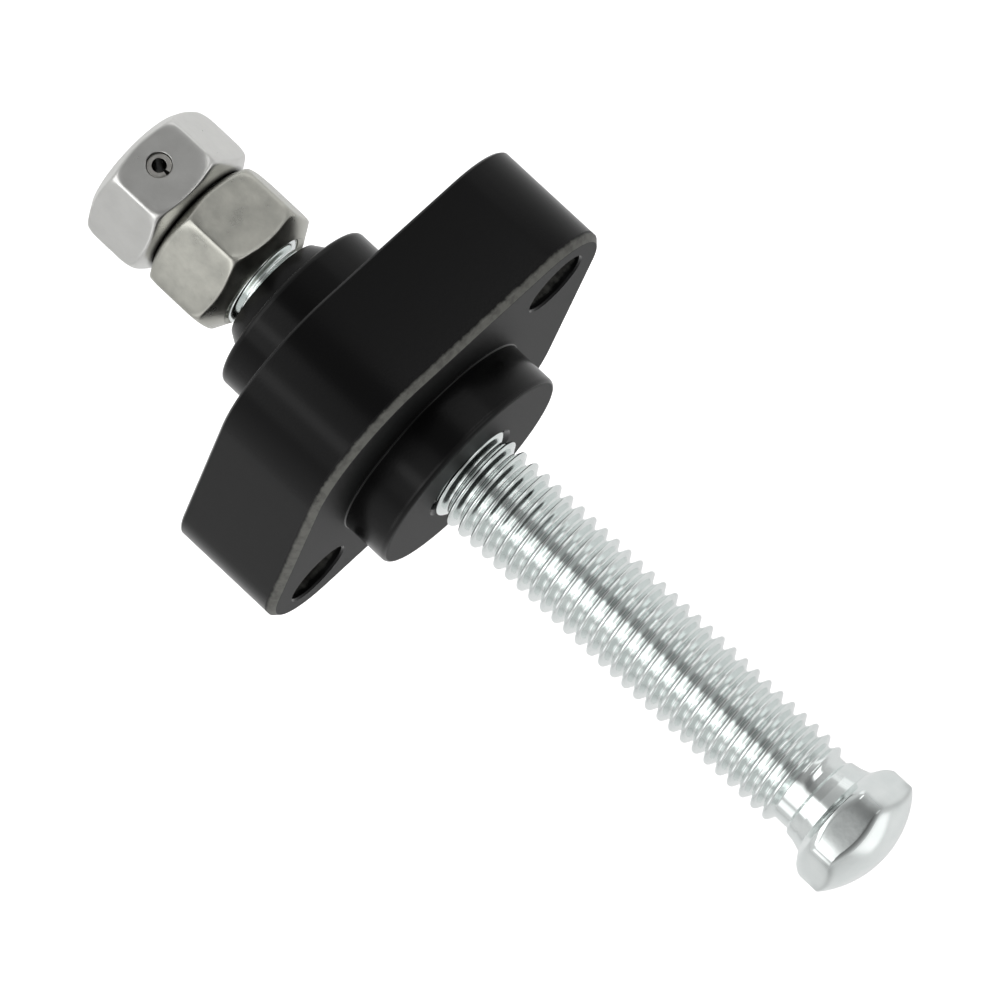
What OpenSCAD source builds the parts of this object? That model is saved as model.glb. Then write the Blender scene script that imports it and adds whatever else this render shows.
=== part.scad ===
// Manual cam chain adjuster: a flanged housing, a headed adjusting screw that
// feeds through it, a lock nut, and a drive nut pinned to the screw's rear end.
// Millimetres. X runs along the screw towards its domed head, Y along the line
// of the two mounting holes, and the origin is the centre of the mounting face.

/* [Flange] */
// Thickness of the flange
flange_t = 12.2; // [9:0.1:16]
// Centre of a mounting hole to the flange's sharp corner beyond it
ear_reach = 10.3; // [9:0.1:13]
// Centre of the flange to its sharp corner across the hole line
flange_short = 25.1; // [23.5:0.1:28]
// Radius of the corners at the mounting holes
ear_r = 8.8; // [7.5:0.1:10]
// Radius of the corners between the mounting holes
waist_r = 12.4; // [8:0.1:14]
// Chamfer round the mounting face
face_chamfer = 0.6; // [0.2:0.05:1]
// Break of the edge round the rear face
rear_chamfer = 0.25; // [0.1:0.05:0.6]
// Distance between the centres of the mounting holes
hole_spacing = 36.8; // [36:0.1:38.5]
// Diameter of the mounting holes
hole_d = 6.7; // [5.5:0.1:7]
// Centre of the mounting holes from the screw axis, along the hole line
hole_offset = 0.8; // [0:0.1:1.5]

/* [Spigot and boss] */
// Diameter of the spigot that fits the engine
spigot_d = 23; // [20:0.1:24]
// Length of the spigot
spigot_len = 5.1; // [3:0.1:8]
// Chamfer on the spigot's end
spigot_chamfer = 0.3; // [0.1:0.05:0.8]
// Diameter of the rear boss
boss_d = 18.9; // [17:0.1:22]
// Length of the rear boss
boss_len = 6.1; // [4:0.1:9]
// Chamfer on the rear boss
boss_chamfer = 0.4; // [0.1:0.05:0.8]
// Diameter of the conical nose where it leaves the boss
nose_base_d = 14; // [13:0.1:16]
// Diameter of the conical nose at its end
nose_end_d = 11.2; // [10.9:0.1:12.8]
// Length of the conical nose
nose_len = 2.3; // [1:0.1:3]

/* [Screw] */
// Diameter over the screw's thread
thread_d = 9.85; // [9.7:0.01:9.98]
// Thread pitch
thread_pitch = 1.5; // [1:0.25:2]
// Depth of the thread, which is drawn as rings at its pitch
thread_depth = 0.84; // [0.5:0.02:1]
// Radial clearance of the screw in the housing and in the nuts
thread_gap = 0.06; // [0.02:0.01:0.1]
// Depth of the countersinks where the screw enters and leaves the housing
bore_countersink = 0.4; // [0.1:0.05:0.8]
// End of the thread in front of the mounting face
thread_front = 49.9; // [40:0.1:60]
// Diameter of the plain neck behind the head
neck_d = 9.15; // [8.5:0.05:9.4]
// Length of the plain neck
neck_len = 1; // [0.6:0.1:3]
// Length over which the neck widens to the crease under the head
collar_len = 1.2; // [0.6:0.1:2]
// Diameter at the crease under the head
crease_d = 9.8; // [9.3:0.05:10.5]
// Length of the slope from the crease to the full width of the head
shoulder_len = 1.3; // [0.8:0.1:2]
// Distance across the flats of the head
head_af = 11.9; // [11.3:0.05:12.6]
// Diameter of the head over its rounded corners
head_d = 13.3; // [12.8:0.05:13.7]
// Length of the head from its slope to the top of its dome
head_len = 4.8; // [4:0.1:8]
// Length over which the thread runs out into the neck
thread_runout = 0.5; // [0.3:0.1:1]
// Radius of the dome on the head
dome_r = 10; // [9:0.1:14]
// Turn of the head's corner from the Z axis towards the Y axis
head_roll = 44.8; // [0:0.1:60]

/* [Nuts] */
// Distance across the flats of both nuts
nut_af = 13.8; // [13:0.05:14.5]
// Gap between the conical nose and the lock nut
nose_gap = 1.2; // [0.5:0.1:3]
// Length of the lock nut
lock_len = 8.7; // [7:0.1:11]
// Turn of the lock nut's corner from the Z axis towards the Y axis
lock_roll = 14.4; // [0:0.1:60]
// Diameter of the lock nut's seat that faces the housing
lock_seat_d = 10.8; // [10.7:0.1:13]
// Gap between the two nuts
nut_gap = 0.1; // [0.05:0.01:0.3]
// Length of the drive nut
drive_len = 8; // [7:0.1:10]
// Turn of the drive nut's pinned flat from the Z axis towards the Y axis
drive_roll = 29; // [0:0.1:60]
// Diameter of the other plain faces on the ends of the nuts
nut_face_d = 11.9; // [11.5:0.1:13.3]
// Rise of the nuts' chamfers from their foot on the corner, per mm inwards
chamfer_rise = 0.6; // [0.4:0.05:1]
// Depth of the countersinks in the nuts
nut_countersink = 0.35; // [0.2:0.05:0.4]
// Chamfer on the screw's rear end
screw_chamfer = 0.8; // [0.3:0.1:1.2]
// Distance from the drive nut's rear face to the screw's end
screw_sunk = 0.4; // [0.1:0.1:1]

/* [Roll pin] */
// Outside diameter of the slotted roll pin
pin_d = 2.5; // [2:0.1:3]
// Wall of the roll pin
pin_wall = 0.55; // [0.3:0.05:0.6]
// Width of the slot along the roll pin
pin_slot = 0.45; // [0.2:0.05:0.6]
// Distance of the roll pin from the drive nut's rear face
pin_from_rear = 3.4; // [2.5:0.1:4]
// Depth of the roll pin's ends below the nut's flats
pin_sunk = 0.2; // [0.05:0.05:0.5]

/* [Hidden] */
$fn = 96;
arc_steps = 14;
over = 1;
// Turn from a hexagon's corner to the next flat
flat_turn = 30;
crest_r = thread_d / 2;
bore_r = crest_r + thread_gap;
rear_face = -flange_t;
boss_end = rear_face - boss_len;
nose_end = boss_end - nose_len;
lock_front = nose_end - nose_gap;
lock_rear = lock_front - lock_len;
drive_front = lock_rear - nut_gap;
drive_rear = drive_front - drive_len;
flange_long = hole_spacing / 2 + ear_reach;
screw_rear = drive_rear + screw_sunk;
pin_x = drive_rear + pin_from_rear;
pin_len = nut_af - 2 * pin_sunk;
crease_x = thread_front + neck_len + collar_len;
head_base = crease_x + shoulder_len;
dome_top = head_base + head_len;
nut_corner_r = nut_af / 2 / cos(flat_turn);
// Radius that the nuts' chamfers are drawn out to, past the corners
turning_r = 1.025 * nut_corner_r;
crest_width = thread_pitch / 8;
thread_end = thread_front - thread_runout;
rings = floor((thread_end - drive_front) / thread_pitch);
neck_root = thread_end - over;

// Turns a shape drawn along Z so that it lies along X and starts at x
module along_x(x = 0) translate([x, 0, 0]) rotate([0, 90, 0]) children();

// Turns a shape drawn round Z until its corner is roll degrees from +Z towards +Y
module rolled(roll) rotate([0, 0, -roll]) children();

// Straight length of round bar along X, from x0 to x1
module bar(x0, x1, r) along_x(x0) cylinder(h = x1 - x0, r = r);

// Turned shape round the X axis through [radius, x] points, closed on the axis
module turned(points)
    along_x() rotate_extrude() polygon(concat([[0, points[0][1]]], points, [[0, points[len(points) - 1][1]]]));

// Points of one rounded corner: an arc of radius r centred c along the direction a
function corner(c, r, a, half) =
    [for (i = [0 : arc_steps]) let (t = a - half + 2 * half * i / arc_steps)
        [c * cos(a) + r * cos(t), c * sin(a) + r * sin(t)]];

// Outline of the flange, a rhombus with rounded corners, drawn smaller by inset
function flange_outline(inset) =
    let (side = atan2(flange_short, flange_long),
         full = flange_short * cos(side),
         long = flange_long * (full - inset) / full,
         short = flange_short * (full - inset) / full,
         ear = ear_r - inset,
         waist = waist_r - inset,
         ear_c = long - ear / sin(side),
         waist_c = short - waist / cos(side))
    concat(corner(ear_c, ear, 0, 90 - side), corner(waist_c, waist, 90, side),
           corner(ear_c, ear, 180, 90 - side), corner(waist_c, waist, 270, side));

// Thin slice of the flange's outline at x, with Y along the hole line
module flange_slice(x, inset, t)
    translate([x, 0, 0]) rotate([90, 0, 90]) linear_extrude(t) polygon(flange_outline(inset));

// Flange with its chamfered front edge and broken rear edge
module flange_plate() {
    skin = 0.01;
    translate([0, hole_offset, 0]) hull() {
        flange_slice(rear_face, rear_chamfer, skin);
        flange_slice(rear_face + rear_chamfer, 0, flange_t - rear_chamfer - face_chamfer);
        flange_slice(-skin, face_chamfer, skin);
    }
}

// Threaded bore drawn plain at running size from x0 to x1, with a countersink at each end
module threaded_bore(x0, x1, depth0, depth1)
    turned([[bore_r + depth0 + over, x0 - over], [bore_r, x0 + depth0],
            [bore_r, x1 - depth1], [bore_r + depth1 + over, x1 + over]]);

module housing() color([0.1, 0.1, 0.1]) difference() {
    union() {
        flange_plate();
        turned([[nose_end_d / 2, nose_end], [nose_base_d / 2, boss_end],
                [boss_d / 2 - boss_chamfer, boss_end], [boss_d / 2, boss_end + boss_chamfer],
                [boss_d / 2, rear_face + over]]);
        turned([[spigot_d / 2, -over], [spigot_d / 2, spigot_len - spigot_chamfer],
                [spigot_d / 2 - spigot_chamfer, spigot_len]]);
    }
    threaded_bore(nose_end, spigot_len, 0, bore_countersink);
    for (side = [-1, 1])
        translate([0, hole_offset + side * hole_spacing / 2, 0])
            bar(rear_face - over, over, hole_d / 2);
}

// Cross hole or solid for the roll pin, of the given radius and length
module pin_bar(r, len)
    translate([pin_x, 0, 0]) rotate([-drive_roll, 0, 0]) translate([0, 0, -len / 2])
        cylinder(h = len, r = r);

// Head of the screw: a hexagon with its corners turned round and a domed top
module head() intersection() {
    along_x(neck_root) rolled(head_roll)
        cylinder(h = dome_top + over - neck_root, r = head_af / 2 / cos(flat_turn), $fn = 6);
    turned([[neck_d / 2, neck_root], [neck_d / 2, thread_front + neck_len], [crease_d / 2, crease_x],
            [head_d / 2, head_base], [head_d / 2, dome_top + over]]);
    translate([dome_top - dome_r, 0, 0]) sphere(r = dome_r);
}

// Points of the thread's rings, from the crest at the drive nut's front face onwards
function thread_rings() =
    [for (i = [0 : rings - 1]) let (x = drive_front + i * thread_pitch, groove = thread_pitch - crest_width)
        each [[crest_r - thread_depth, x + groove / 2], [crest_r, x + groove], [crest_r, x + thread_pitch]]];

module adjuster_bolt() color([0.78, 0.8, 0.82]) difference() {
    union() {
        turned(concat([[crest_r - screw_chamfer, screw_rear], [crest_r, screw_rear + screw_chamfer],
                       [crest_r, drive_front]],
                      thread_rings(),
                      [[crest_r, thread_end], [neck_d / 2, thread_front]]));
        head();
    }
    pin_bar(pin_d / 2, nut_af);
}

// Hexagon nut from x0 to x1, turned to a cone at each end, with a plain bore
module nut(x0, x1, face0_r, face1_r, roll) difference() {
    intersection() {
        along_x(x0) rolled(roll) cylinder(h = x1 - x0, r = nut_corner_r, $fn = 6);
        turned([[face0_r, x0], [turning_r, x0 + (turning_r - face0_r) * chamfer_rise],
                [turning_r, x1 - (turning_r - face1_r) * chamfer_rise], [face1_r, x1]]);
    }
    threaded_bore(x0, x1, nut_countersink, nut_countersink);
}

module lock_nut() color([0.7, 0.7, 0.66])
    nut(lock_rear, lock_front, nut_face_d / 2, lock_seat_d / 2, lock_roll);

module drive_nut() color([0.66, 0.66, 0.62]) difference() {
    nut(drive_rear, drive_front, nut_face_d / 2, nut_face_d / 2, drive_roll + flat_turn);
    pin_bar(pin_d / 2, nut_af + 2 * over);
}

module roll_pin() color([0.45, 0.45, 0.44]) difference() {
    pin_bar(pin_d / 2, pin_len);
    pin_bar(pin_d / 2 - pin_wall, pin_len + over);
    translate([pin_x, 0, 0]) rotate([-drive_roll, 0, 0])
        translate([0, -pin_slot / 2, -pin_len]) cube([pin_d, pin_slot, 2 * pin_len]);
}

housing();
adjuster_bolt();
lock_nut();
drive_nut();
roll_pin();
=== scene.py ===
"""Looks of a manual cam chain adjuster: black anodised housing, zinc plated screw, two nuts, roll pin."""
import math

import bmesh
import bpy
import numpy as np
from mathutils import Matrix, Vector
from mathutils.geometry import tessellate_polygon


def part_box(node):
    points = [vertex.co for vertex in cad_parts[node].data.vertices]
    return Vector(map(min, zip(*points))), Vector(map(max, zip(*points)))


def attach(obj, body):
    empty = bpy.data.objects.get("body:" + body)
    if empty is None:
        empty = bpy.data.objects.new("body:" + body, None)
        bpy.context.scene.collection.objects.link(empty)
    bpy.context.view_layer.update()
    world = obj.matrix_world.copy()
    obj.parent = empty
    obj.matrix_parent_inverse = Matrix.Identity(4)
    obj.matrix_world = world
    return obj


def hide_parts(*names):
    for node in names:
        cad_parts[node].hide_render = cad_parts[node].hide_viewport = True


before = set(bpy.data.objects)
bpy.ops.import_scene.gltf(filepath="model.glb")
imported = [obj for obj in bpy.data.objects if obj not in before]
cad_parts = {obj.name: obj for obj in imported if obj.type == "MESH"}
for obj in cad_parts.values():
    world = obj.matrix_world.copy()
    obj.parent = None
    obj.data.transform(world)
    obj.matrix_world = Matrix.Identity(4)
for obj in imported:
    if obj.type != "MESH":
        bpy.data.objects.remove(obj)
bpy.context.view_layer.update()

# Lengths in this script are millimetres along the CAD axes, and turn to metres as a mesh is made
MM = 0.001
PER_METRE = 1000.0
HALF_TURN = math.pi
FULL_TURN = 2 * math.pi


def span(node, axis):
    """Lowest and highest place of a CAD node along one axis, in millimetres."""
    low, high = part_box(node)
    return low[axis] / MM, high[axis] / MM


# Places that come from the CAD frame
NOSE_END, SPIGOT_END = span("housing", 0)
SCREW_REAR, DOME_TOP = span("adjuster_bolt", 0)
LOCK_REAR, LOCK_FRONT = span("lock_nut", 0)
DRIVE_REAR, DRIVE_FRONT = span("drive_nut", 0)
PIN_X = sum(span("roll_pin", 0)) / 2

# Flange, with its front face at x = 0. It is a rhombus, so far to its sharp and blunt corners before they
# are rounded, and its sides take a narrow border of both faces with them.
FLANGE_T = 12.2
HOLE_SPACING = 36.8
HOLE_R = 3.35
HOLE_OFFSET = 0.8
HOLE_LIP = 0.2
FLANGE_LONG = HOLE_SPACING / 2 + 10.3
FLANGE_SHORT = 25.1
EAR_R = 8.8
WAIST_R = 12.4
FACE_CHAMFER = 0.55
REAR_BREAK = 0.25
FACE_BORDER = 0.3
REAR_BORDER = 0.35

# Spigot, boss and bore
SPIGOT_R = 11.5
BOSS_R = 9.45
BOSS_END = -FLANGE_T - 6.1
NOSE_BASE_R = 7.0
NOSE_END_R = 5.6
BORE_R = 4.985
BORE_BREAK = 0.4

# Radii of the small arcs at the housing's edges, and in the corners where turned parts meet the flange
CORNER_ARC = 0.18
OUTER_ARC = 0.5
NOSE_ARC = 0.15
SIDE_ARC = 0.12
CHAMFER_ARC = 0.1
BORE_ARC = 0.08
LIP_ARC = 0.05

# Screw. Neck, crease and shoulder are corners of its profile, as (x, radius), and the head is a hexagon
# so wide across its flats.
THREAD_R = 4.92
THREAD_PITCH = 1.5
THREAD_DEPTH = 0.84
THREAD_ROOT_R = THREAD_R - THREAD_DEPTH
THREAD_FRONT = 49.9
THREAD_FADE = 0.45
NECK = [(50.0, 4.45), (50.9, 4.6)]
CREASE = (51.95, 4.95)
SHOULDER = [(52.7, 6.05), (53.4, 6.6)]
HEAD_R = 6.62
HEAD_AF = 11.9
HEAD_ROLL = 44.8
HEAD_SOFTNESS = 0.16
DOME_R = 10.0
TAIL = 0.6
TAIL_BREAK = 0.3

# Nuts and pin. A nut's chamfer is NUT_RISE long for each millimetre that it rises, and its fullest radius
# begins NUT_BELLY from each end.
NUT_AF = 13.8
NUT_FACE_R = 5.95
LOCK_SEAT_R = 5.4
NUT_RISE = 0.6
NUT_EDGE_R = 7.6
NUT_BELLY = 2.5
NUT_BELLY_R = 8.25
NUT_DISH = 0.35
NUT_SOFTNESS = 0.14
LOCK_ROLL = 14.4
DRIVE_ROLL = 29.0
PIN_R = 1.25
PIN_BORE_R = 0.7
PIN_SLOT = 0.45
PIN_LENGTH = NUT_AF - 0.4
PIN_GAP = 0.02
PIN_HOLE_LIP = 0.06


# Profiles

def rounded(corners, steps=5):
    """A path through corners, given as (a, b, radius), where each corner of some radius becomes an arc that
    touches both spans, smaller where it would take too much of one. Returns the points and, for each, 1 on
    an arc and 0 elsewhere. A point close beside each arc keeps the flat stretches flat when the surface is
    shaded smoothly."""
    span_share, arc_share, edge_share = 0.45, 0.35, 0.05
    points, edges = [], []
    count = len(corners)
    for i, (a, b, radius) in enumerate(corners):
        here = np.array([a, b], float)
        if radius <= 0 or i in (0, count - 1):
            points.append(here)
            edges.append(0.0)
            continue
        back = np.array(corners[i - 1][:2], float) - here
        ahead = np.array(corners[i + 1][:2], float) - here
        back_len, ahead_len = np.linalg.norm(back), np.linalg.norm(ahead)
        back, ahead = back / back_len, ahead / ahead_len
        half = math.acos(np.clip(back @ ahead, -1, 1)) / 2
        reach = min(radius / math.tan(half), span_share * back_len, span_share * ahead_len)
        radius = reach * math.tan(half)
        middle = back + ahead
        centre = here + middle / np.linalg.norm(middle) * radius / math.sin(half)
        start, end = here + back * reach - centre, here + ahead * reach - centre
        support = min(arc_share * reach, edge_share * min(back_len, ahead_len))
        points.append(here + back * (reach + support))
        edges.append(0.0)
        for t in np.linspace(0, 1, steps + 1):
            turn = HALF_TURN - 2 * half
            way = (start * math.sin((1 - t) * turn) + end * math.sin(t * turn)) / math.sin(turn)
            points.append(centre + way)
            edges.append(1.0)
        points.append(here + ahead * (reach + support))
        edges.append(0.0)
    return np.array(points), np.array(edges)


def spread(path, step):
    """The same path with points added so that none of its spans is longer than step."""
    points, edges = path
    new_points, new_edges = [points[0]], [edges[0]]
    for a, b, ea, eb in zip(points[:-1], points[1:], edges[:-1], edges[1:]):
        count = max(1, math.ceil(np.linalg.norm(b - a) / step - 1e-6))
        for k in range(1, count + 1):
            t = k / count
            new_points.append(a + (b - a) * t)
            new_edges.append(ea if ea == eb else (eb if k == count else 0.0))
    return np.array(new_points), np.array(new_edges)


# Surfaces: each is a list of parts, and a part is (points, faces, and masks of edges and of wear and
# painted shade)

def grid_part(points, edges=0.0, wear_and_shade=0.0, wrap=True, loop=False):
    """Quads over a grid of points, rows by columns. The columns close into rings with wrap, and the rows
    with loop."""
    rows, cols = points.shape[:2]
    masks = np.stack([np.broadcast_to(edges, (rows, cols)), np.broadcast_to(wear_and_shade, (rows, cols))], -1)
    r = np.arange(rows if loop else rows - 1)
    c = np.arange(cols if wrap else cols - 1)
    rr, cc = np.meshgrid(r, c, indexing="ij")
    r2, c2 = (rr + 1) % rows, (cc + 1) % cols
    quads = np.stack([rr * cols + cc, rr * cols + c2, r2 * cols + c2, r2 * cols + cc], -1)
    return points.reshape(-1, 3), quads.reshape(-1, 4), masks.reshape(-1, 2)


def flat_part(loops):
    """One flat face with holes in it, from its outer loop and the loops of its holes."""
    points = np.concatenate(loops)
    triangles = tessellate_polygon([[Vector(p) for p in loop] for loop in loops])
    return points, np.array(triangles).reshape(-1, 3), np.zeros((len(points), 2))


def lathe(path, angles):
    """Turned surface round the X axis: each path point (x, radius) goes round at radius times the sine of
    the angle in Y and times its cosine in Z, so angles run from +Z towards +Y."""
    points, edges = path
    x = np.repeat(points[:, :1], len(angles), 1)
    radius = points[:, 1:2]
    return np.stack([x, radius * np.sin(angles), radius * np.cos(angles)], -1), edges[:, None]


def circle_angles(count):
    """So many angles, evenly round a full turn."""
    return np.arange(count) * FULL_TURN / count


def build(name, parts, material, sharp=35.0):
    """One closed mesh from its parts, with shared points merged and faces turned outwards."""
    start, points, faces, masks = 0, [], [], []
    for part_points, part_faces, part_masks in parts:
        points.append(part_points)
        faces.extend((part_faces + start).tolist())
        masks.append(part_masks)
        start += len(part_points)
    mesh = bpy.data.meshes.new(name)
    mesh.from_pydata((np.concatenate(points) * MM).tolist(), [], faces)
    for label, values in zip(("edge", "wear_and_shade"), np.concatenate(masks).T):
        mask = mesh.attributes.new(label, "FLOAT", "POINT")
        mask.data.foreach_set("value", values.astype(np.float32))
    return finish_mesh(name, mesh, material, sharp)


def finish_mesh(name, mesh, material, sharp):
    """Merges doubles, drops flat slivers, turns the faces outwards, and shades all but the sharp edges
    smoothly."""
    double, sliver = 0.002 * MM, 0.001 * MM
    work = bmesh.new()
    work.from_mesh(mesh)
    bmesh.ops.remove_doubles(work, verts=work.verts, dist=double)
    bmesh.ops.dissolve_degenerate(work, edges=work.edges, dist=sliver)
    bmesh.ops.recalc_face_normals(work, faces=work.faces)
    work.to_mesh(mesh)
    work.free()
    mesh.shade_smooth()
    mesh.set_sharp_from_angle(angle=math.radians(sharp))
    mesh.materials.clear()
    if material:
        mesh.materials.append(material)
    piece = bpy.data.objects.new(name, mesh)
    bpy.context.collection.objects.link(piece)
    return piece


def cut(piece, cutter, sharp=35.0):
    """The piece with the cutter's closed shape taken out of it."""
    tool = piece.modifiers.new("cut", "BOOLEAN")
    tool.operation = "DIFFERENCE"
    tool.solver = "EXACT"
    tool.object = cutter
    graph = bpy.context.evaluated_depsgraph_get()
    mesh = bpy.data.meshes.new_from_object(piece.evaluated_get(graph))
    name, material = piece.name, piece.data.materials[0]
    bpy.data.meshes.remove(piece.data)
    bpy.data.meshes.remove(cutter.data)
    mesh.name = name
    return finish_mesh(name, mesh, material, sharp)


# Housing

def flange_ring(inset, x, on_arc=30, on_side=12):
    """Points round the flange's outline at x, drawn smaller by inset: a rhombus whose corners are arcs,
    each with its centre on a diagonal, so far in that it touches both sides."""
    side = math.atan2(FLANGE_SHORT, FLANGE_LONG)
    full = FLANGE_SHORT * math.cos(side)
    long, short = FLANGE_LONG * (full - inset) / full, FLANGE_SHORT * (full - inset) / full
    ear, waist = EAR_R - inset, WAIST_R - inset
    ear_c, waist_c = long - ear / math.sin(side), short - waist / math.cos(side)
    ring = []
    for centre, radius, facing, half in (
        (ear_c, ear, 0, HALF_TURN / 2 - side), (waist_c, waist, HALF_TURN / 2, side),
        (ear_c, ear, HALF_TURN, HALF_TURN / 2 - side), (waist_c, waist, 1.5 * HALF_TURN, side),
    ):
        turn = facing + np.linspace(-half, half, on_arc)
        arc = np.stack([centre * math.cos(facing) + radius * np.cos(turn),
                        centre * math.sin(facing) + radius * np.sin(turn)], -1)
        if ring:
            ring.append(np.linspace(ring[-1][-1], arc[0], on_side)[1:-1])
        ring.append(arc)
    ring.append(np.linspace(ring[-1][-1], ring[0][0], on_side)[1:-1])
    flat = np.concatenate(ring)
    return np.stack([np.full(len(flat), x), flat[:, 0] + HOLE_OFFSET, flat[:, 1]], -1)


def flange_side():
    """The flange's outline at rising x, from the rear face's border over the sides and the front chamfer
    to the front face's border. The black is marked as worn on the chamfer, and fades back in behind it."""
    path, edges = spread(rounded([
        (-FLANGE_T, REAR_BREAK + REAR_BORDER, 0), (-FLANGE_T, REAR_BREAK, SIDE_ARC),
        (-FLANGE_T + REAR_BREAK, 0, SIDE_ARC), (-FACE_CHAMFER - 0.5, 0, 0), (-FACE_CHAMFER, 0, CHAMFER_ARC),
        (0, FACE_CHAMFER, CHAMFER_ARC), (0, FACE_CHAMFER + FACE_BORDER, 0)]), 1.2)
    rings = np.stack([flange_ring(inset, x) for x, inset in path])
    worn_at = [-FACE_CHAMFER - 0.5, -FACE_CHAMFER + 0.1, -0.03, 0.0]
    return rings, edges[:, None], np.interp(path[:, :1], worn_at, [0, 1, 1, 0])


def mounting_hole(side):
    """Wall of one mounting hole, a path carried round the hole's axis. It begins and ends on the two faces,
    its edges are broken at 45 degrees, and its black is marked as a little worn except at the ends."""
    wide = HOLE_R + HOLE_LIP
    path = spread(rounded([
        (-FLANGE_T, wide + 0.1, 0), (-FLANGE_T, wide, LIP_ARC), (-FLANGE_T + HOLE_LIP, HOLE_R, BORE_ARC),
        (-0.8, HOLE_R, 0), (-HOLE_LIP, HOLE_R, BORE_ARC), (0, wide, LIP_ARC), (0, wide + 0.1, 0)]), 2.0)
    points, edges = lathe(path, circle_angles(72))
    worn_at = [-FLANGE_T + 0.2, -FLANGE_T + 0.6, -0.6, -0.2]
    worn = np.interp(points[..., 0], worn_at, [0, 0.58, 0.58, 0])
    return points + [0, HOLE_OFFSET + side * HOLE_SPACING / 2, 0], edges, worn


def make_housing(material):
    """Flange, with the spigot, the boss with its conical nose, and the bore as turned profiles. These and
    the holes share their border loops with the flange's two flat faces, and the corners where turned parts
    meet the flange aren't marked as edges."""
    around = circle_angles(160)
    spigot_path = spread(rounded([
        (0, SPIGOT_R + 0.5, 0), (0, SPIGOT_R, CORNER_ARC), (SPIGOT_END, SPIGOT_R, OUTER_ARC),
        (SPIGOT_END, BORE_R + BORE_BREAK, BORE_ARC), (SPIGOT_END - BORE_BREAK, BORE_R, BORE_ARC),
        (SPIGOT_END - 1, BORE_R, 0)]), 1.0)
    boss_path = spread(rounded([
        (-FLANGE_T, BOSS_R + 0.5, 0), (-FLANGE_T, BOSS_R, CORNER_ARC), (BOSS_END, BOSS_R, OUTER_ARC),
        (BOSS_END, NOSE_BASE_R, NOSE_ARC), (NOSE_END, NOSE_END_R, NOSE_ARC), (NOSE_END, BORE_R, LIP_ARC),
        (NOSE_END + 0.5, BORE_R, 0)]), 1.0)
    bore_path = (np.array([(NOSE_END + 0.5, BORE_R), (SPIGOT_END - 1, BORE_R)]), np.zeros(2))
    sides, side_edges, side_worn = flange_side()
    spigot, spigot_edges = lathe(spigot_path, around)
    boss, boss_edges = lathe(boss_path, around)
    # The marked edges get the anodised black's painted highlight; the corners at the flange are left
    # unmarked.
    spigot_edges = np.where(spigot[:, :1, 0] < 1, 0, spigot_edges)
    boss_edges = np.where(boss[:, :1, 0] > -FLANGE_T - 1, 0, boss_edges)
    holes = [mounting_hole(side) for side in (-1, 1)]
    parts = [
        grid_part(sides, side_edges, side_worn), grid_part(spigot, spigot_edges),
        grid_part(boss, boss_edges), grid_part(*lathe(bore_path, around)),
        flat_part([sides[-1], spigot[0], *[points[-1] for points, _, _ in holes]]),
        flat_part([sides[0], boss[0], *[points[0] for points, _, _ in holes]]),
        *[grid_part(*hole) for hole in holes]]
    return build("housing_body", parts, material)


# Hexagons

def hex_angles(per_flat=24, crowding=1.7):
    """Angles round a hexagon, from corner to corner. With u from -1 to 1 over a flat, the angle from its
    middle is 30 degrees times 1 - (1 - |u|) to the power of crowding, with the sign of u, so the angles lie
    closest at the corners."""
    u = np.linspace(-1, 1, per_flat + 1)[:-1]
    sector = np.sign(u) * (1 - (1 - np.abs(u)) ** crowding) * HALF_TURN / 6
    return np.concatenate([sector + i * HALF_TURN / 3 + HALF_TURN / 6 for i in range(6)])


def clip_to_hexagon(points, across, roll, angles, softness):
    """Draws the points in until they lie inside a hexagon with softened edges, its corners at roll + 60 n.
    The new radius is a soft minimum of the turned radius and of the reach to each of the six flats, which
    is half the width across them over the cosine of the angle off the flat. Also returns how close each
    point is to the seam between turned surface and flats, 1 on it."""
    apothem, least_cosine, far_off = across / 2, 0.2, 1e3
    radius = np.hypot(points[..., 1], points[..., 2])
    turned = np.exp(-(radius - apothem) / softness)
    terms = turned.copy()
    for i in range(6):
        facing = np.cos(angles - roll - (i + 0.5) * HALF_TURN / 3)
        reach = np.where(facing > least_cosine, apothem / np.maximum(facing, least_cosine), far_off)
        terms = terms + np.exp(-(reach - apothem) / softness)
    drawn = apothem - softness * np.log(terms)
    scale = np.minimum(1, drawn / np.maximum(radius, 1e-9))
    share = turned / terms
    return points * np.stack([np.ones_like(scale), scale, scale], -1), 4 * share * (1 - share)


def nut_parts(x0, x1, face0, face1, roll, shaded_end):
    """A nut as one closed turned profile, cut to a hexagon: bore, end face, chamfer, and a rounded outside
    that gives the flats their round ends. The end given last gets painted shade, for the gap where two nuts
    meet."""
    inner = BORE_R + NUT_DISH
    edge0 = x0 + (NUT_EDGE_R - face0) * NUT_RISE
    edge1 = x1 - (NUT_EDGE_R - face1) * NUT_RISE
    dish_arc, face_arc, edge_arc, belly_arc = 0.04, 0.2, 0.8, 1.5
    path = spread(rounded([
        (x0 + NUT_DISH, BORE_R, 0), (x0, inner, dish_arc), (x0, face0, face_arc),
        (edge0, NUT_EDGE_R, edge_arc), (x0 + NUT_BELLY, NUT_BELLY_R, belly_arc),
        (x1 - NUT_BELLY, NUT_BELLY_R, belly_arc), (edge1, NUT_EDGE_R, edge_arc),
        (x1, face1, face_arc), (x1, inner, dish_arc), (x1 - NUT_DISH, BORE_R, 0)]), 0.12)
    angles = hex_angles() + roll
    turned = lathe(path, angles)[0]
    # Painted shade for the gap where the two nuts meet: within 0.3 mm of that end the colour is darkened.
    gap_shade = np.interp(np.abs(turned[..., 0] - shaded_end), [0.05, 0.3], [0.85, 0])
    points = clip_to_hexagon(turned, NUT_AF, roll, angles, NUT_SOFTNESS)[0]
    return [grid_part(points, 0.0, gap_shade, loop=True)]


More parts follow.
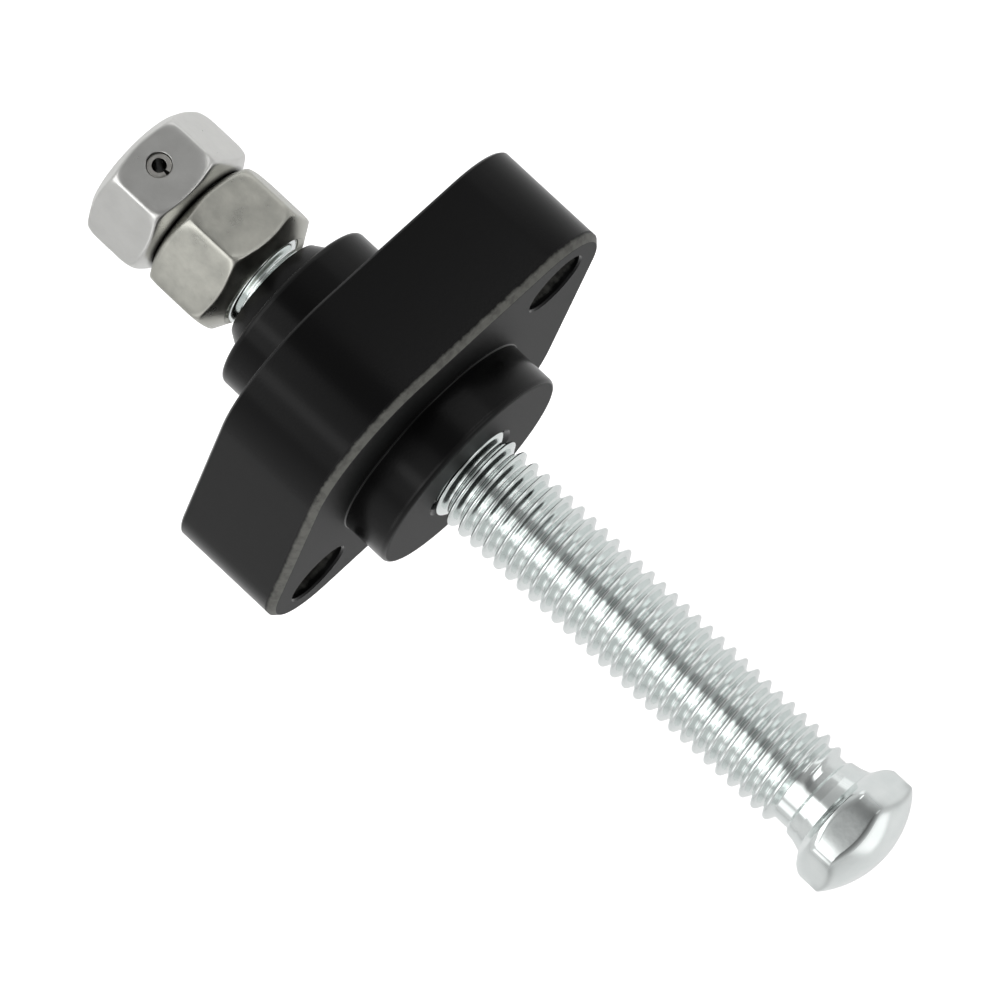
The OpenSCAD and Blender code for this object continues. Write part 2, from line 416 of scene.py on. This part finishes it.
def make_lock_nut(material):
    """Nut with a long chamfer and a small seat at its front end."""
    return build("lock_nut_body", nut_parts(
        LOCK_REAR, LOCK_FRONT, NUT_FACE_R, LOCK_SEAT_R, math.radians(LOCK_ROLL), LOCK_REAR), material)


def pin_turned(path, angles):
    """Path points (z, radius) carried round Z, at radius times the cosine of the angle in X and times its
    sine in Y, and then turned so that their axis is the pin's, square to the drive nut's pinned flat."""
    z, radius = np.array(path)[:, :1], np.array(path)[:, 1:2]
    points = np.stack([radius * np.cos(angles), radius * np.sin(angles), z + 0 * angles], -1)
    turn = np.array(Matrix.Rotation(-math.radians(DRIVE_ROLL), 3, "X"))
    return points @ turn.T + [PIN_X, 0, 0]


def pin_cutter(radius, lip):
    """Closed bar along the pin's axis, longer than the nut is wide, its ends flared by lip at the flats."""
    half, length = NUT_AF / 2, NUT_AF
    rings = pin_turned([
        (-length, radius + lip), (-half, radius + lip), (-half + lip, radius), (half - lip, radius),
        (half, radius + lip), (length, radius + lip)], circle_angles(64))
    return build("pin_cutter", [grid_part(rings), flat_part([rings[0]]), flat_part([rings[-1]])], None)


def make_drive_nut(material):
    """Nut with equal ends, and the pin's hole across it."""
    roll = math.radians(DRIVE_ROLL + 30)
    nut = build("drive_nut_body", nut_parts(
        DRIVE_REAR, DRIVE_FRONT, NUT_FACE_R, NUT_FACE_R, roll, DRIVE_FRONT), material)
    return cut(nut, pin_cutter(PIN_R + PIN_GAP, PIN_HOLE_LIP))


def make_roll_pin(material):
    """Slotted tube: its wall's section, with rounded ends, carried round all but the slot. Its bore gets
    painted shade."""
    half = PIN_LENGTH / 2
    inner_arc, outer_arc = 0.08, 0.2
    section, edges = spread(rounded([
        (-half + 1, PIN_BORE_R, 0), (-half, PIN_BORE_R, inner_arc), (-half, PIN_R, outer_arc),
        (half, PIN_R, outer_arc), (half, PIN_BORE_R, inner_arc), (half - 1, PIN_BORE_R, 0)]), 1.5)
    slot = PIN_SLOT / 2 / PIN_R
    rings = pin_turned(section, -np.linspace(slot, FULL_TURN - slot, 61))
    # Painted shade in the bore: its points are marked for the steel's dark shade colour.
    inside = np.where(section[:, 1:2] < PIN_BORE_R + 0.03, 1.0, 0.0)
    wall = grid_part(rings, edges[:, None], inside, wrap=False, loop=True)
    return build("roll_pin_body", [wall, flat_part([rings[:, 0]]), flat_part([rings[:, -1]])], material)


# Screw

def thread_section():
    """Height of the thread over one pitch, from the middle of one root to the next: flat root, straight
    flanks at 30 degrees, and a narrow rounded crest. Returns offsets and heights, both from 0 to 1."""
    root, foot = 0.06, 0.09
    flank = THREAD_DEPTH * math.tan(math.radians(30)) / THREAD_PITCH
    crest = 0.5 - flank - foot
    half = [(0, 0), (root, 0), (foot, 0.03)]
    half += [(foot + flank * t, t) for t in np.linspace(0.12, 0.93, 4)]
    half += [(foot + flank + 0.3 * crest, 0.99), (0.5 - 0.25 * crest, 1)]
    ahead = [(1 - x, h) for x, h in reversed(half)]
    return np.array(half + [(0.5, 1)] + ahead)


def thread_parts(x0, x1, around=72):
    """Right-handed thread between two rings of root radius. One strip carries the section along the helix:
    x is the start plus the pitch times the sum of turns and offset, and the radius is the root's plus the
    depth times the height. The height fades out over the last part of a turn, and a fill closes each end
    down to its ring."""
    gap = 0.02
    section = thread_section()
    offset, height = section[:, 0], section[:, 1]
    turns = int((x1 - x0 - 0.05) / THREAD_PITCH) - 1
    start = x0 + gap

    def surface(x, radius, angle):
        """Points at x and the radius, round by the angle, in the sense of the screw's other parts."""
        return np.stack([x, radius * np.sin(-angle), radius * np.cos(-angle)], -1)

    angle = np.arange(turns * around + 1)[:, None] * FULL_TURN / around
    fade = np.clip(np.minimum(angle, angle[-1] - angle) / (THREAD_FADE * FULL_TURN), 0, 1)
    fade = fade * fade * (3 - 2 * fade)
    x = start + THREAD_PITCH * (angle / FULL_TURN + offset)
    strip = surface(x, THREAD_ROOT_R + THREAD_DEPTH * fade * height, angle)
    turn = np.arange(around + 1)[None, :] * FULL_TURN / around
    edge_x = THREAD_PITCH * turn / FULL_TURN
    rows = offset[:, None]
    rear_x = np.concatenate([np.full_like(turn, x0), start + edge_x * rows])
    front = start + THREAD_PITCH * turns
    front_x = np.concatenate([front + edge_x + (THREAD_PITCH - edge_x) * rows, np.full_like(turn, x1)])
    fills = [surface(end_x, np.full_like(end_x, THREAD_ROOT_R), np.broadcast_to(turn, end_x.shape))
             for end_x in (rear_x, front_x)]
    return [grid_part(points, wrap=False) for points in (strip, *fills)]


def make_bolt(material):
    """Screw in one piece: its rear end and its neck, shoulder and dome are turned profiles, the head is cut
    to a hexagon, the thread runs between them, and the pin's hole goes across. The dome is an arc that ends
    on the axis."""
    thread_start, thread_end = SCREW_REAR + TAIL, THREAD_FRONT - 0.2
    around, sharp = 144, 50.0
    angles = -circle_angles(around)
    tail = lathe(spread(rounded([
        (SCREW_REAR, 0, 0), (SCREW_REAR, THREAD_ROOT_R - TAIL_BREAK, 0.15),
        (thread_start - 0.1, THREAD_ROOT_R, 0.1), (thread_start, THREAD_ROOT_R, 0)]), 0.8), angles[::2])
    sweep = np.linspace(math.asin((HEAD_R + 0.05) / DOME_R), 0, 26)
    dome = np.stack([DOME_TOP - DOME_R + DOME_R * np.cos(sweep), DOME_R * np.sin(sweep), 0 * sweep], -1)
    dome_x = dome[0][0]
    path = spread(rounded([
        (thread_end, THREAD_ROOT_R, 0), (*NECK[0], 0.1), (*NECK[1], 0.6), (*CREASE, 0.06),
        (*SHOULDER[0], 0.5), (*SHOULDER[1], 0.8), (dome_x, HEAD_R, 0.15), *dome[1:]]), 0.18)
    turned = lathe(path, angles)[0]
    head, seam = clip_to_hexagon(turned, HEAD_AF, math.radians(HEAD_ROLL), angles, HEAD_SOFTNESS)
    # The tail's arcs and the seam near the dome are marked as edges, so the zinc paints a dark shade line
    # along them.
    edges = seam * np.interp(head[..., 0], [dome_x - 1, dome_x - 0.2], [0, 1])
    parts = [grid_part(*tail), grid_part(head, edges), *thread_parts(thread_start, thread_end)]
    bolt = build("adjuster_bolt_body", parts, material, sharp)
    return cut(bolt, pin_cutter(PIN_R, 0.0), sharp)


# Materials

def tools(tree):
    """A short way to add a node to a tree, with its constant inputs set and its other inputs joined."""
    def add(kind, inputs=None, **settings):
        node = tree.nodes.new(kind)
        for key, value in settings.items():
            setattr(node, key, value)
        for key, value in (inputs or {}).items():
            if isinstance(value, bpy.types.NodeSocket):
                tree.links.new(value, node.inputs[key])
            else:
                node.inputs[key].default_value = value
        return node
    return add


def new_group(name, inputs, outputs):
    """Empty node group, with its input and output nodes. Inputs are (name, socket type, value)."""
    tree = bpy.data.node_groups.new(name, "ShaderNodeTree")
    for label, kind, value in inputs:
        tree.interface.new_socket(label, in_out="INPUT", socket_type=kind).default_value = value
    for label, kind in outputs:
        tree.interface.new_socket(label, in_out="OUTPUT", socket_type=kind)
    return tree, tools(tree), tree.nodes.new("NodeGroupInput").outputs, tree.nodes.new("NodeGroupOutput")


def calculate(add, operation, *values):
    """Result of one sum on values or sockets."""
    return add("ShaderNodeMath", dict(enumerate(values)), operation=operation).outputs[0]


def rise(add, value, low, high):
    """0 below low and 1 above high, straight between."""
    return add("ShaderNodeMapRange", {"Value": value, "From Min": low, "From Max": high}).outputs["Result"]


def blend(add, factor, first, second, way="MIX"):
    """Colour that goes from first to second as factor runs from 0 to 1. Either is a socket or a colour."""
    inputs = {"Factor": factor}
    for key, value in ((6, first), (7, second)):
        inputs[key] = value if isinstance(value, bpy.types.NodeSocket) else (*value, 1)
    return add("ShaderNodeMix", inputs, data_type="RGBA", blend_type=way).outputs[2]


def mask(add, name):
    """Value that a piece's mesh carries under a name: the edge mask, or the mask of wear and painted shade.
    """
    return add("ShaderNodeAttribute", attribute_name=name).outputs["Fac"]


def group(add, tree, **values):
    """Outputs of a node group, placed with its own values."""
    node = add("ShaderNodeGroup")
    node.node_tree = tree
    for key, value in values.items():
        node.inputs[key].default_value = value
    return node.outputs


def make_blotch_group():
    """Soft irregular patches over a surface: a value around 0, which is twice Amount times what the noise
    lies above its middle."""
    tree, add, given, result = new_group(
        "blotches", [("Size", "NodeSocketFloat", 4.0), ("Amount", "NodeSocketFloat", 0.1)],
        [("Value", "NodeSocketFloat")])
    place = add("ShaderNodeTexCoord").outputs["Object"]
    scaled = calculate(add, "DIVIDE", PER_METRE, given["Size"])
    noise = add("ShaderNodeTexNoise", {"Vector": place, "Scale": scaled, "Detail": 3.0, "Roughness": 0.6})
    centred = calculate(add, "SUBTRACT", noise.outputs["Fac"], 0.5)
    strong = calculate(add, "MULTIPLY", centred, given["Amount"])
    tree.links.new(calculate(add, "MULTIPLY", strong, 2.0), result.inputs["Value"])
    return tree


def make_grain_group():
    """Surface grain as a normal. Its height is fine noise of a given size, plus Rings times noise that
    depends only on the radius round the X axis."""
    tree, add, given, result = new_group(
        "grain", [("Size", "NodeSocketFloat", 0.3), ("Height", "NodeSocketFloat", 0.02),
                  ("Rings", "NodeSocketFloat", 0.0)], [("Normal", "NodeSocketVector")])
    place = add("ShaderNodeTexCoord").outputs["Object"]
    scaled = calculate(add, "DIVIDE", PER_METRE, given["Size"])
    noise = add("ShaderNodeTexNoise", {"Vector": place, "Scale": scaled, "Detail": 2.0})
    flat = add("ShaderNodeVectorMath", {0: place, 1: (0, PER_METRE, PER_METRE)}, operation="MULTIPLY")
    radius = add("ShaderNodeVectorMath", {0: flat.outputs[0]}, operation="LENGTH").outputs["Value"]
    ring = add("ShaderNodeTexNoise", {"W": radius, "Scale": 5.0, "Detail": 2.0}, noise_dimensions="1D")
    ring_part = calculate(add, "MULTIPLY", ring.outputs["Fac"], given["Rings"])
    total = calculate(add, "ADD", noise.outputs["Fac"], ring_part)
    bump = add("ShaderNodeBump", {"Height": total, "Distance": 0.0001, "Strength": given["Height"]})
    tree.links.new(bump.outputs["Normal"], result.inputs["Normal"])
    return tree


BLOTCHES = make_blotch_group()
GRAIN = make_grain_group()


def new_material(name):
    """Material without nodes, and the way to add them."""
    material = bpy.data.materials.new(name)
    material.use_nodes = True
    material.node_tree.nodes.clear()
    return material, tools(material.node_tree)


def finish_material(material, add, inputs):
    """The material, once its one surface shader is there with its inputs."""
    surface = add("ShaderNodeBsdfPrincipled", inputs)
    add("ShaderNodeOutputMaterial", {"Surface": surface.outputs["BSDF"]})
    return material


def make_anodised():
    """Satin black anodised aluminium. Faces that look along X are turned, and duller than the sides, and so
    are the places beside a worn edge. The worn edge itself shows grey metal with a ragged border. The
    rounded edges get a painted highlight: their black is painted a little lighter."""
    material, add = new_material("black_anodised")
    facing = add("ShaderNodeVectorMath", {0: add("ShaderNodeTexCoord").outputs["Normal"], 1: (1, 0, 0)},
                 operation="DOT_PRODUCT").outputs["Value"]
    normal = group(add, GRAIN, Size=0.25, Height=0.04, Rings=0.3)["Normal"]
    blotch = group(add, BLOTCHES, Size=0.8, Amount=1.0)["Value"]
    wear_and_shade = mask(add, "wear_and_shade")
    ragged = calculate(add, "MULTIPLY_ADD", blotch, 0.45, wear_and_shade)
    # Painted highlight on the rounded edges: the black is painted lighter there.
    black = blend(add, mask(add, "edge"), (0.0022, 0.0022, 0.0023), (0.009, 0.009, 0.009))
    colour = blend(add, rise(add, ragged, 0.35, 1.0), black, (0.17, 0.17, 0.155))
    dull = calculate(add, "MAXIMUM", rise(add, facing, 0.8, 0.97), rise(add, wear_and_shade, 0.0, 0.3))
    rough = calculate(add, "MULTIPLY_ADD", dull, 0.3, 0.2)
    return finish_material(material, add, {
        "Base Color": colour, "Roughness": rough, "IOR": 1.28, "Specular IOR Level": 0.47,
        "Normal": normal})


def make_metal(name, dark, light, roughness, patch_size, patch_amount, height):
    """Plated steel: its colour and roughness drift over soft patches. Edges of the turned profile and the
    head's dome seam get a painted dark line, and the places in the mask of wear and shade get painted
    shade: the gap between the two nuts and the pin's bore."""
    material, add = new_material(name)
    normal = group(add, GRAIN, Size=0.5, Height=height)["Normal"]
    blotch = group(add, BLOTCHES, Size=patch_size, Amount=patch_amount)["Value"]
    patches = blend(add, calculate(add, "ADD", blotch, 0.5), dark, light)
    # Painted dark line along the marked edges: the colour is darkened by a quarter there.
    edged = blend(add, calculate(add, "MULTIPLY", mask(add, "edge"), 0.25), (1, 1, 1), (0, 0, 0))
    patches_with_edge_shade = blend(add, 1.0, patches, edged, "MULTIPLY")
    # Painted shade, from the mask of wear and shade: the gap between the nuts and the pin's bore.
    colour = blend(add, mask(add, "wear_and_shade"), patches_with_edge_shade, (0.01, 0.01, 0.01))
    rough = calculate(add, "MULTIPLY_ADD", blotch, 0.12, roughness)
    return finish_material(material, add, {
        "Base Color": colour, "Roughness": rough, "Metallic": 1.0, "Normal": normal})


# A metal has a darker and a lighter colour, a roughness, its patches' size and amount, and a grain height
anodised = make_anodised()
zinc = make_metal("bright_zinc", (0.74, 0.79, 0.78), (0.90, 0.93, 0.92), 0.15, 2.5, 0.6, 0.03)
lock_steel = make_metal("lock_nut_steel", (0.40, 0.40, 0.365), (0.57, 0.565, 0.51), 0.3, 2.5, 0.9, 0.1)
drive_steel = make_metal("drive_nut_steel", (0.62, 0.62, 0.60), (0.75, 0.75, 0.73), 0.3, 2.0, 0.5, 0.1)
pin_steel = make_metal("pin_steel", (0.42, 0.41, 0.39), (0.58, 0.57, 0.54), 0.35, 0.8, 0.7, 0.1)

housing = make_housing(anodised)
bolt = make_bolt(zinc)
lock_nut = make_lock_nut(lock_steel)
drive_nut = make_drive_nut(drive_steel)
roll_pin = make_roll_pin(pin_steel)

for piece, body, node, finish in (
    (housing, "housing", "housing", "black_anodised"),
    (bolt, "screw", "adjuster_bolt", "bright_zinc"),
    (lock_nut, "lock_nut", "lock_nut", "lock_nut_steel"),
    (drive_nut, "screw", "drive_nut", "drive_nut_steel"),
    (roll_pin, "screw", "roll_pin", "pin_steel"),
):
    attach(piece, body)
    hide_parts(node)


# Camera. It looks down on the part by LEAN, and the part's axis swings towards it by SWING.

LEAN = math.radians(18.4)
SWING = math.radians(10.3)
along = Vector((math.cos(SWING), -math.sin(LEAN) * math.sin(SWING), -math.cos(LEAN) * math.sin(SWING)))
beside = Vector((0, -math.cos(LEAN), math.sin(LEAN)))
towards = Vector((math.sin(SWING), math.sin(LEAN) * math.cos(SWING), math.cos(LEAN) * math.cos(SWING)))
PIXELS_PER_MM = 10.7
PICTURE_HEIGHT = 1005
SENSOR = 36
CAMERA_DISTANCE = 850.0
# In the picture the part's axis runs down to the right, and its origin lies so many pixels to the left of
# the middle and above it
SLOPE = math.radians(42.95)
ORIGIN_LEFT = 69.2
ORIGIN_ABOVE = 66.3
right = math.cos(SLOPE) * along - math.sin(SLOPE) * beside
down = math.sin(SLOPE) * along + math.cos(SLOPE) * beside
place = CAMERA_DISTANCE * towards + (ORIGIN_LEFT * right + ORIGIN_ABOVE * down) / PIXELS_PER_MM

camera = bpy.data.objects.new("camera", bpy.data.cameras.new("camera"))
camera.data.sensor_width = SENSOR
camera.data.lens = SENSOR * CAMERA_DISTANCE * PIXELS_PER_MM / PICTURE_HEIGHT
camera.data.clip_end = 10
camera.matrix_world = Matrix((
    (right.x, -down.x, towards.x, place.x * MM), (right.y, -down.y, towards.y, place.y * MM),
    (right.z, -down.z, towards.z, place.z * MM), (0, 0, 0, 1)))
bpy.context.collection.objects.link(camera)
bpy.context.scene.camera = camera


# Floor, lights and surroundings

FLOOR_Z = -90.0
FLOOR_HALF = 1500
SEEN_GLOW = 0.75
MIRRORED_GLOW = 0.24


def make_floor():
    """White floor. It glows for the rays that see it, less in reflections, and still takes a shadow."""
    material, add = new_material("white_floor")
    path = add("ShaderNodeLightPath").outputs
    mirrored = calculate(add, "MAXIMUM", path["Is Glossy Ray"], path["Is Transmission Ray"])
    seen = calculate(add, "MULTIPLY", path["Is Camera Ray"], SEEN_GLOW)
    glow = calculate(add, "MULTIPLY_ADD", mirrored, MIRRORED_GLOW, seen)
    finish_material(material, add, {
        "Base Color": (0.8, 0.8, 0.8, 1), "Roughness": 0.9, "Emission Color": (1, 1, 1, 1),
        "Emission Strength": glow})
    mesh = bpy.data.meshes.new("floor")
    corners = [(-1, -1), (1, -1), (1, 1), (-1, 1)]
    mesh.from_pydata([(x * FLOOR_HALF * MM, y * FLOOR_HALF * MM, FLOOR_Z * MM) for x, y in corners], [],
                     [(0, 1, 2, 3)])
    mesh.materials.append(material)
    floor = bpy.data.objects.new("floor", mesh)
    bpy.context.collection.objects.link(floor)
    return floor


def from_view(angle):
    """Direction square to the part's axis, so many degrees round from the view: to the upper right in the
    picture if positive."""
    a = math.radians(angle)
    return math.cos(a) * Vector((0, math.sin(LEAN), math.cos(LEAN))) - math.sin(a) * beside


def make_border_group():
    """How bright a panel is across its surface: 1 in the middle, and down to 0 at its border, softly over a
    share of its half width and half length."""
    tree, add, given, result = new_group(
        "soft_border", [("Share", "NodeSocketFloat", 0.5)], [("Value", "NodeSocketFloat")])
    across = add("ShaderNodeSeparateXYZ", {0: add("ShaderNodeNewGeometry").outputs["Parametric"]}).outputs
    sides = []
    for side in (across["X"], across["Y"]):
        off = calculate(add, "ABSOLUTE", calculate(add, "MULTIPLY_ADD", side, 2.0, -1.0))
        inward = calculate(add, "SUBTRACT", 1.0, off)
        sides.append(add("ShaderNodeMapRange", {"Value": inward, "From Max": given["Share"]},
                         interpolation_type="SMOOTHSTEP").outputs["Result"])
    tree.links.new(calculate(add, "MULTIPLY", *sides), result.inputs["Value"])
    return tree


BORDER = make_border_group()


def add_panel(name, target, direction, distance, length, width, brightness, share=0.5):
    """Soft panel that faces a point of the part from some direction. Its length runs along the part's axis
    as far as it can, and its width across. Its power is pi times its area times its brightness."""
    lamp = bpy.data.lights.new(name, "AREA")
    lamp.shape = "RECTANGLE"
    lamp.size, lamp.size_y = length * MM, width * MM
    lamp.energy = brightness * math.pi * length * width * MM * MM
    lamp.use_nodes = True
    lamp.node_tree.nodes.clear()
    add = tools(lamp.node_tree)
    glow = add("ShaderNodeEmission", {"Strength": group(add, BORDER, Share=share)["Value"]})
    add("ShaderNodeOutputLight", {"Surface": glow.outputs["Emission"]})
    back = direction.normalized()
    up = back.cross(Vector((1, 0, 0))).normalized()
    side = up.cross(back)
    spot = (Vector(target) + back * distance) * MM
    panel = bpy.data.objects.new(name, lamp)
    panel.matrix_world = Matrix((
        (side.x, up.x, back.x, spot.x), (side.y, up.y, back.y, spot.y), (side.z, up.z, back.z, spot.z),
        (0, 0, 0, 1)))
    bpy.context.collection.objects.link(panel)


def add_side_panel(name, angles, distance, reach, brightness, share=0.5):
    """Panel beside the part. It spans two angles from the view and a reach along the part's axis."""
    middle, length = sum(reach) / 2, reach[1] - reach[0]
    width = 2 * distance * math.tan(math.radians(abs(angles[1] - angles[0]) / 2))
    add_panel(name, (middle, 0, 0), from_view(sum(angles) / 2), distance, length, width, brightness, share)


def make_world():
    """Studio round the part: dim behind the camera, brighter to the sides, and white where the camera sees
    it. Stops are (cosine of the angle to the camera, grey)."""
    stops = [(0.0, 0.68), (0.36, 0.545), (0.62, 0.40), (0.90, 0.29), (0.96, 0.21), (0.985, 0.17),
             (1.0, 0.14)]
    world = bpy.data.worlds.new("studio")
    world.use_nodes = True
    world.node_tree.nodes.clear()
    add = tools(world.node_tree)
    way = add("ShaderNodeTexCoord").outputs["Generated"]
    facing = add("ShaderNodeVectorMath", {0: way, 1: tuple(towards)}, operation="DOT_PRODUCT")
    ramp = add("ShaderNodeValToRGB", {"Fac": facing.outputs["Value"]})
    while len(ramp.color_ramp.elements) < len(stops):
        ramp.color_ramp.elements.new(0.5)
    for element, (where, grey) in zip(ramp.color_ramp.elements, stops):
        element.position = where
        element.color = (grey, grey, grey, 1)
    seen = add("ShaderNodeLightPath").outputs["Is Camera Ray"]
    colour = blend(add, seen, ramp.outputs["Color"], (1, 1, 1))
    sky = add("ShaderNodeBackground", {"Color": colour, "Strength": 1.0})
    add("ShaderNodeOutputWorld", {"Surface": sky.outputs["Background"]})
    bpy.context.scene.world = world


floor = make_floor()
make_world()
# A side panel has angles from the view in degrees, a distance, a reach along the axis, and a brightness
add_side_panel("lower_left_strip", (-47, -33), 700, (-500, 300), 1.1)
add_side_panel("lower_left_panel", (-70, -4), 300, (-60, 110), 1.15)
add_side_panel("neck_panel", (-66, -5), 300, (-440, -55), 1.3, 0.25)
add_side_panel("upper_neck_panel", (58, 118), 300, (-440, -50), 0.45, 0.25)
add_side_panel("low_side_panel", (-100, -70), 300, (-60, 110), 0.6)
add_side_panel("upper_right_panel", (18, 62), 300, (-50, -12), 1.9)
add_side_panel("upper_front_panel", (18, 62), 300, (60, 240), 1.3)
end_way = Vector((0.95, 0, 0)) - 0.27 * from_view(0) + 0.12 * from_view(90)
add_panel("end_panel", (57, 0, 0), end_way, 130, 105, 105, 0.5)
bpy.context.scene.view_settings.view_transform = "Standard"
